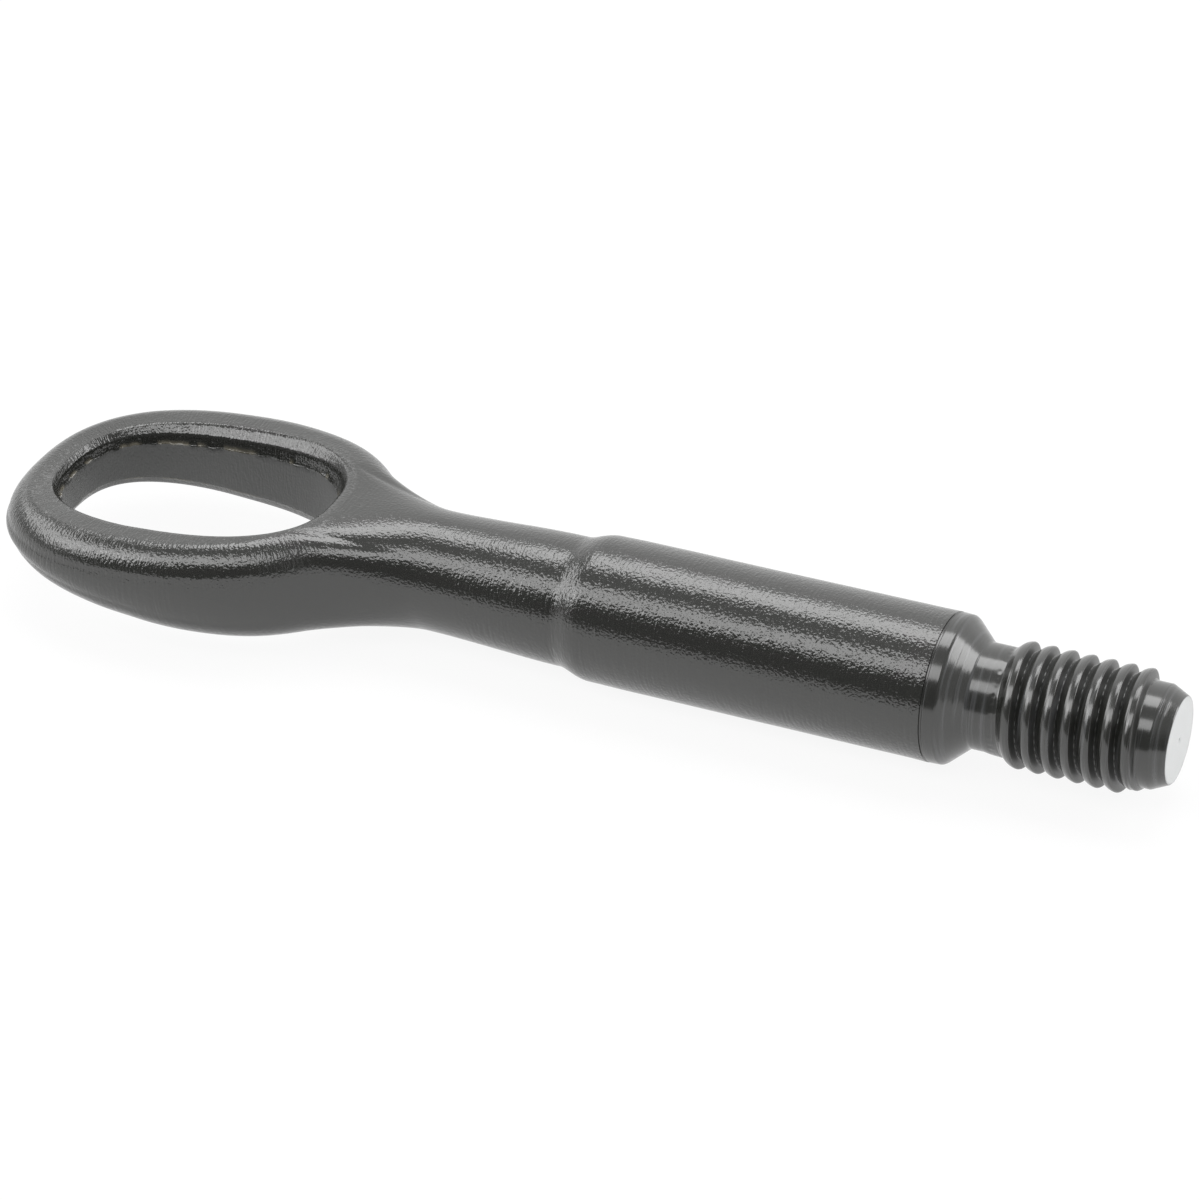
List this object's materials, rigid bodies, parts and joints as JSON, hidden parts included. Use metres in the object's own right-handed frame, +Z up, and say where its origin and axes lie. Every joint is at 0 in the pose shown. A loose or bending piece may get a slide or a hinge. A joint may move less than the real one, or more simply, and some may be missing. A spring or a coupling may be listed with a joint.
{
  "type": "tow eye",
  "caption": "Forged screw-in towing eye with an oval loop, a flared neck, a stepped round shank, a turned collar and a coarse rounded right-hand thread.",
  "frame": {"origin": "middle of the bounding box in plan, at the lowest line of the shank's guide section, which lies on the floor", "axes": "+X runs along the shank from the eye's free end to the threaded tip, +Y across the eye's face, +Z up, out of the eye's upper face"},
  "size_m": [0.204, 0.0498, 0.0242],
  "materials": {
    "black_coat": "gloss"
  },
  "bodies": {
    "root": {"tow_eye": "black_coat"}
  },
  "joints": []
}
